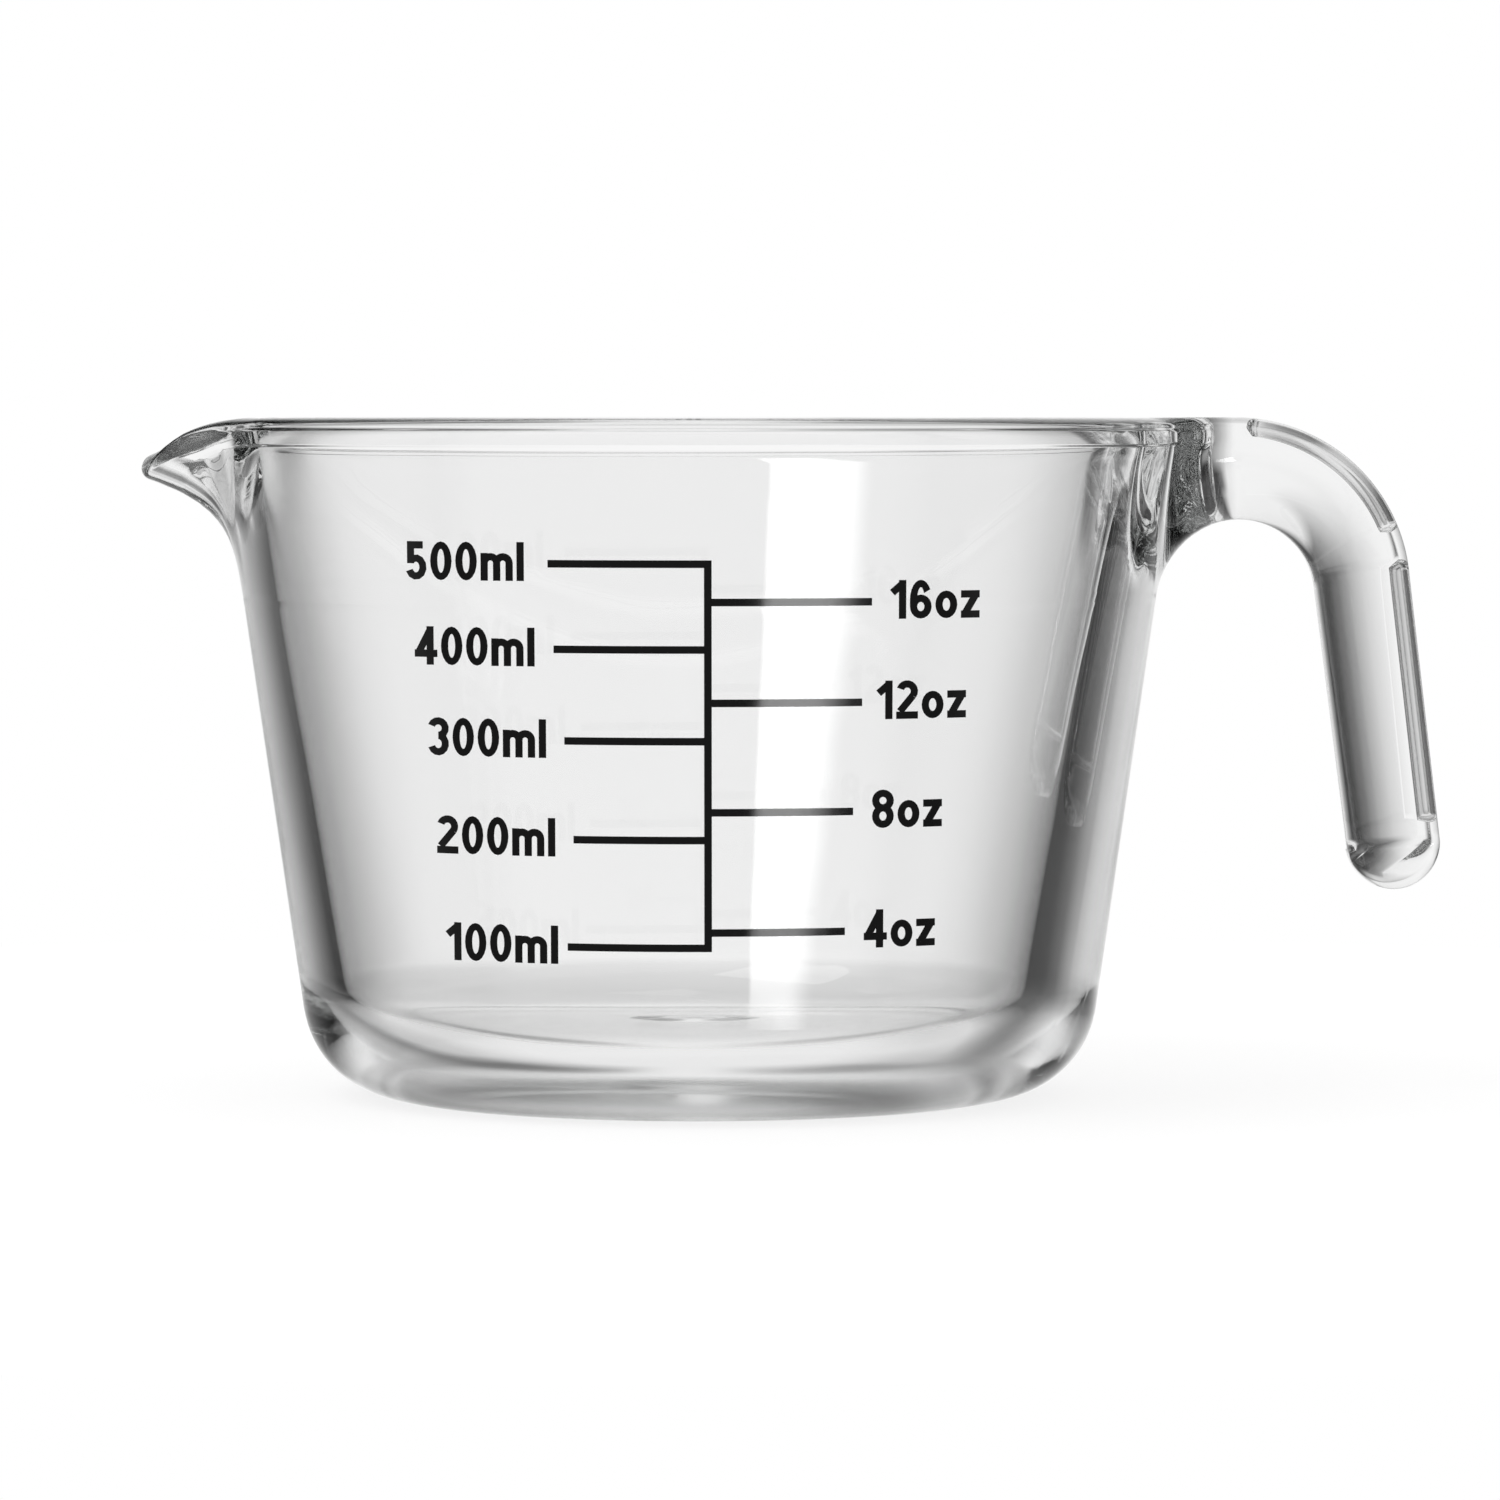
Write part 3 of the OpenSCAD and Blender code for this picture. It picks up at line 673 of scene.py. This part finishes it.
def new_material(name):
    """An empty node material. Gives it, its node tree and its output node."""
    material = bpy.data.materials.new(name)
    material.use_nodes = True
    material.node_tree.nodes.clear()
    return material, material.node_tree, material.node_tree.nodes.new("ShaderNodeOutputMaterial")


def glass_material(look):
    """Clear pressed glass: see-through, with the slow waves that a mould leaves in its skin.

    Its body swallows a little light, which shows only where light runs far inside it, as in the rim,
    the lip and the root of the handle. Only the face that it stands on is matt.
    """
    material, tree, out = new_material("clear_glass")
    shader = tree.nodes.new("ShaderNodeBsdfPrincipled")
    shader.inputs["Base Color"].default_value = (*look.glass_colour, 1.0)
    shader.inputs["IOR"].default_value = look.glass_index
    shader.inputs["Transmission Weight"].default_value = 1.0
    where = tree.nodes.new("ShaderNodeTexCoord")
    waves = tree.nodes.new("ShaderNodeTexNoise")
    waves.inputs["Scale"].default_value = look.wave_scale
    waves.inputs["Detail"].default_value = 1.0
    bump = tree.nodes.new("ShaderNodeBump")
    bump.inputs["Strength"].default_value = look.wave_strength
    bump.inputs["Distance"].default_value = look.wave_depth
    place = tree.nodes.new("ShaderNodeSeparateXYZ")
    matt = tree.nodes.new("ShaderNodeMapRange")
    matt.inputs["From Min"].default_value = look.matt_end
    matt.inputs["From Max"].default_value = look.clear_start
    matt.inputs["To Min"].default_value = look.foot_roughness
    matt.inputs["To Max"].default_value = 0.0
    body = tree.nodes.new("ShaderNodeVolumeAbsorption")
    body.inputs["Color"].default_value = (*look.body_colour, 1.0)
    body.inputs["Density"].default_value = look.body_density
    tree.links.new(where.outputs["Object"], place.inputs["Vector"])
    tree.links.new(place.outputs["Z"], matt.inputs["Value"])
    tree.links.new(matt.outputs["Result"], shader.inputs["Roughness"])
    tree.links.new(where.outputs["Object"], waves.inputs["Vector"])
    tree.links.new(waves.outputs["Fac"], bump.inputs["Height"])
    tree.links.new(bump.outputs["Normal"], shader.inputs["Normal"])
    tree.links.new(shader.outputs["BSDF"], out.inputs["Surface"])
    tree.links.new(body.outputs["Volume"], out.inputs["Volume"])
    return material


def enamel_material(look):
    """Fired black enamel: smooth, with a gloss that changes a little from place to place."""
    material, tree, out = new_material("black_enamel")
    shader = tree.nodes.new("ShaderNodeBsdfPrincipled")
    shader.inputs["Base Color"].default_value = (*look.enamel_colour, 1.0)
    where = tree.nodes.new("ShaderNodeTexCoord")
    patches = tree.nodes.new("ShaderNodeTexNoise")
    patches.inputs["Scale"].default_value = look.patch_scale
    patches.inputs["Detail"].default_value = look.patch_detail
    gloss = tree.nodes.new("ShaderNodeMapRange")
    gloss.inputs["To Min"].default_value = look.gloss_low
    gloss.inputs["To Max"].default_value = look.gloss_high
    tree.links.new(where.outputs["Object"], patches.inputs["Vector"])
    tree.links.new(patches.outputs["Fac"], gloss.inputs["Value"])
    tree.links.new(gloss.outputs["Result"], shader.inputs["Roughness"])
    tree.links.new(shader.outputs["BSDF"], out.inputs["Surface"])
    return material


def floor_material(look):
    """A plain pale floor that keeps the shadow and reads as white where nothing shades it."""
    material, tree, out = new_material("pale_floor")
    shader = tree.nodes.new("ShaderNodeBsdfPrincipled")
    shader.inputs["Base Color"].default_value = (*look.floor_colour, 1.0)
    shader.inputs["Roughness"].default_value = look.floor_roughness
    shader.inputs["Specular IOR Level"].default_value = 0.0
    shader.inputs["Emission Color"].default_value = grey(1.0)
    shader.inputs["Emission Strength"].default_value = look.floor_glow
    tree.links.new(shader.outputs["BSDF"], out.inputs["Surface"])
    return material


def feed(tree, socket, value):
    """Sets a socket to a number or colour, or links another node's output to it."""
    if isinstance(value, (int, float, tuple)):
        socket.default_value = value
    else:
        tree.links.new(value, socket)


def calculate(tree, operation, *values):
    """A math node whose inputs are numbers or other nodes' outputs. Gives its output."""
    node = tree.nodes.new("ShaderNodeMath")
    node.operation = operation
    for socket, value in zip(node.inputs, values):
        feed(tree, socket, value)
    return node.outputs["Value"]


def blend(tree, kind, share, first, second):
    """A colour mix of two colours or outputs. Gives its output."""
    node = tree.nodes.new("ShaderNodeMixRGB")
    node.blend_type = kind
    for socket, value in zip(node.inputs, (share, first, second)):
        feed(tree, socket, value)
    return node.outputs["Color"]


def soft_edge(tree, value, start, end):
    """A soft edge: 0 where the value is below start, 1 above end."""
    node = tree.nodes.new("ShaderNodeMapRange")
    node.interpolation_type = "SMOOTHSTEP"
    for name, item in (("Value", value), ("From Min", start), ("From Max", end)):
        feed(tree, node.inputs[name], item)
    return node.outputs["Result"]


def ramp(tree, value, stops):
    """A grey ramp of (place, brightness) stops. Gives its colour output."""
    node = tree.nodes.new("ShaderNodeValToRGB")
    points = node.color_ramp.elements
    while len(points) < len(stops):
        points.new(0.5)
    for point, (place, brightness) in zip(points, stops):
        point.position = place
        point.color = grey(brightness)
    tree.links.new(value, node.inputs["Fac"])
    return node.outputs["Color"]


def by_turn(stops):
    """Ramp stops from degrees of turn: straight back is the middle of the ramp, a full turn its length."""
    return [(0.5 + degrees / 360.0, brightness) for degrees, brightness in stops]


def by_height(stops):
    """Ramp stops from degrees above the horizon: the sine of the angle, with 0 in the ramp's middle."""
    return [(0.5 + 0.5 * math.sin(math.radians(degrees)), share) for degrees, share in stops]


def tall_light(tree, dx, dy, dz):
    """A tall soft light in front of the jug, to the right, that narrows towards the floor.

    Its sides are straight lines, so the turn of each is worked out from the fall below the horizon.
    The right side fades out slowly.
    """
    turn = calculate(tree, "ARCTAN2", dx, calculate(tree, "MULTIPLY", dy, -1.0))
    fall = calculate(tree, "ARCSINE", calculate(tree, "MULTIPLY", dz, -1.0))
    past = calculate(tree, "MAXIMUM", calculate(tree, "SUBTRACT", fall, math.radians(LIGHT_BEND)), 0.0)
    left = calculate(tree, "MULTIPLY_ADD", past, LIGHT_LEFT_CLOSING, math.radians(LIGHT_LEFT))
    right = calculate(tree, "MULTIPLY_ADD", past, LIGHT_RIGHT_CLOSING, math.radians(LIGHT_RIGHT))
    inside_left = calculate(tree, "SUBTRACT", turn, left)
    inside_right = calculate(tree, "SUBTRACT", right, turn)
    above_floor = calculate(tree, "SUBTRACT", math.radians(LIGHT_FLOOR), fall)
    from_left = soft_edge(tree, inside_left, 0.0, math.radians(LIGHT_LEFT_SOFT))
    from_right = soft_edge(tree, inside_right, 0.0, math.radians(LIGHT_RIGHT_SOFT))
    from_top = soft_edge(tree, fall, math.radians(LIGHT_TOP), math.radians(LIGHT_TOP_SOFT_END))
    from_floor = soft_edge(tree, above_floor, 0.0, math.radians(LIGHT_FLOOR_SOFT))
    across = calculate(tree, "MULTIPLY", from_left, from_right)
    return calculate(tree, "MULTIPLY", across, calculate(tree, "MULTIPLY", from_top, from_floor))


def studio_world(look):
    """White panels around a dim room with a pale floor, and one tall light that only gloss mirrors.

    The camera sees plain white. Glass sees the panels, which give its edges their dark lines.
    Everything else gets an even white light.
    """
    world = bpy.data.worlds.new("studio")
    bpy.context.scene.world = world
    world.use_nodes = True
    tree = world.node_tree
    tree.nodes.clear()
    out = tree.nodes.new("ShaderNodeOutputWorld")
    sky = tree.nodes.new("ShaderNodeBackground")
    where = tree.nodes.new("ShaderNodeTexCoord")
    split = tree.nodes.new("ShaderNodeSeparateXYZ")
    tree.links.new(where.outputs["Generated"], split.inputs["Vector"])
    dx, dy, dz = split.outputs
    turn = calculate(tree, "MULTIPLY_ADD", calculate(tree, "ARCTAN2", dx, dy), 0.5 / math.pi, 0.5)
    rise = calculate(tree, "MULTIPLY_ADD", dz, 0.5, 0.5)

    panels, ground, roof, ceiling, front = (
        ramp(tree, turn, by_turn(stops)) for stops in (PANELS, GROUND, ROOF, CEILING, FRONT)
    )
    below, over_ground, over_panels, over_roof, fade = (
        ramp(tree, rise, by_height(stops)) for stops in (BELOW, OVER_GROUND, OVER_PANELS, OVER_ROOF, FADE)
    )
    room = blend(tree, "MIX", below, ground, grey(BELOW_GREY))
    room = blend(tree, "MIX", over_ground, room, panels)
    room = blend(tree, "MIX", over_panels, room, roof)
    room = blend(tree, "MIX", over_roof, room, ceiling)
    room = blend(tree, "MULTIPLY", 1.0, room, fade)

    path = tree.nodes.new("ShaderNodeLightPath")
    glossy = path.outputs["Is Glossy Ray"]
    mirrored = calculate(tree, "SUBTRACT", glossy, path.outputs["Is Transmission Ray"])
    glow = calculate(tree, "MULTIPLY", tall_light(tree, dx, dy, dz), look.tall_light)
    dimmed = blend(tree, "MULTIPLY", 1.0, room, front)
    dimmed = blend(tree, "MIX", over_ground, grey(MIRRORED_GROUND_GREY), dimmed)
    struck = blend(tree, "ADD", 1.0, dimmed, glow)
    found = blend(tree, "MIX", mirrored, room, struck)
    lit = blend(tree, "MIX", glossy, grey(EVEN_LIGHT_GREY), found)
    seen = blend(tree, "MIX", path.outputs["Is Camera Ray"], lit, grey(1.0))
    tree.links.new(seen, sky.inputs["Color"])
    tree.links.new(sky.outputs["Background"], out.inputs["Surface"])


def link(name, data):
    """A new object at the origin in the scene's own collection."""
    piece = bpy.data.objects.new(name, data)
    bpy.context.scene.collection.objects.link(piece)
    return piece


def stage_floor(look):
    """A pale disc just under the jug, which glass and gloss don't see. Gives the object."""
    turn = np.linspace(0.0, FULL_TURN, STAGE_SIDES + 1)[:-1]
    mesh = bpy.data.meshes.new("floor")
    mesh.from_pydata(polar(STAGE_RADIUS, turn, -STAGE_DROP).tolist(), [], [list(range(STAGE_SIDES))])
    mesh.materials.append(floor_material(look))
    floor = link("floor", mesh)
    floor.visible_transmission = False
    floor.visible_glossy = False
    return floor


def stage_lamp():
    """A large soft lamp at the upper left, which glass doesn't see."""
    data = bpy.data.lights.new("soft_box", "AREA")
    data.shape = "RECTANGLE"
    data.size = LAMP_SIZE
    data.size_y = LAMP_SIZE
    data.energy = LAMP_POWER
    lamp = link("soft_box", data)
    lamp.location = LAMP_PLACE
    lamp.rotation_euler = (math.radians(LAMP_TILT), 0.0, math.radians(LAMP_TURN))
    lamp.visible_transmission = False


def stage_camera(scene):
    """A long lens at the height of the rim, looking back and a little down."""
    data = bpy.data.cameras.new("camera")
    data.sensor_width = CAMERA_SENSOR
    data.lens = CAMERA_LENS
    data.clip_start = CAMERA_NEAR
    data.clip_end = CAMERA_FAR
    camera = link("camera", data)
    camera.location = CAMERA_PLACE
    camera.rotation_euler = (math.radians(90.0 - CAMERA_FALL), 0.0, 0.0)
    scene.camera = camera


class JUG_OT_glass(bpy.types.Operator):
    """Builds the vessel and the handle as one pressing of clear glass."""

    bl_idname = "jug.glass"
    bl_label = "Glass"

    def execute(self, context):
        piece = link("jug_glass", glass_mesh(context.scene.jug_sizes))
        piece.data.materials.append(glass_material(context.scene.jug_look))
        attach(piece, "root")
        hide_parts("vessel", "handle")
        return {"FINISHED"}


class JUG_OT_print(bpy.types.Operator):
    """Gives every printed line and caption its enamel finish."""

    bl_idname = "jug.print"
    bl_label = "Printed scale"

    def execute(self, context):
        enamel = enamel_material(context.scene.jug_look)
        for name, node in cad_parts.items():
            if name.startswith(PRINT_PARTS):
                node.data.materials.clear()
                node.data.materials.append(enamel)
        return {"FINISHED"}


class JUG_OT_stage(bpy.types.Operator):
    """Sets the floor, the light and the camera."""

    bl_idname = "jug.stage"
    bl_label = "Studio"

    def execute(self, context):
        scene = context.scene
        floor = stage_floor(scene.jug_look)
        studio_world(scene.jug_look)
        stage_lamp()
        stage_camera(scene)
        scene.view_settings.view_transform = "Standard"
        scene.cycles.max_bounces = BOUNCES
        scene.cycles.transmission_bounces = BOUNCES
        scene.cycles.glossy_bounces = BOUNCES
        return {"FINISHED"}


class JUG_PT_panel(bpy.types.Panel):
    """Lists the steps in the sidebar."""

    bl_label = "Measuring jug"
    bl_idname = "JUG_PT_panel"
    bl_space_type = "VIEW_3D"
    bl_region_type = "UI"
    bl_category = "Jug"

    def draw(self, context):
        for step in (JUG_OT_glass, JUG_OT_print, JUG_OT_stage):
            self.layout.operator(step.bl_idname)


CLASSES = (JugSizes, JugLook, JUG_OT_glass, JUG_OT_print, JUG_OT_stage, JUG_PT_panel)


def register():
    """Adds the add-on's classes and its settings to Blender."""
    for cls in CLASSES:
        bpy.utils.register_class(cls)
    bpy.types.Scene.jug_sizes = bpy.props.PointerProperty(type=JugSizes)
    bpy.types.Scene.jug_look = bpy.props.PointerProperty(type=JugLook)


def unregister():
    """Takes the add-on's settings and classes out of Blender."""
    del bpy.types.Scene.jug_look
    del bpy.types.Scene.jug_sizes
    for cls in reversed(CLASSES):
        bpy.utils.unregister_class(cls)


def main():
    """Builds everything."""
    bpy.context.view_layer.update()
    register()
    bpy.ops.jug.glass()
    bpy.ops.jug.print()
    bpy.ops.jug.stage()


if __name__ == "__main__":
    main()
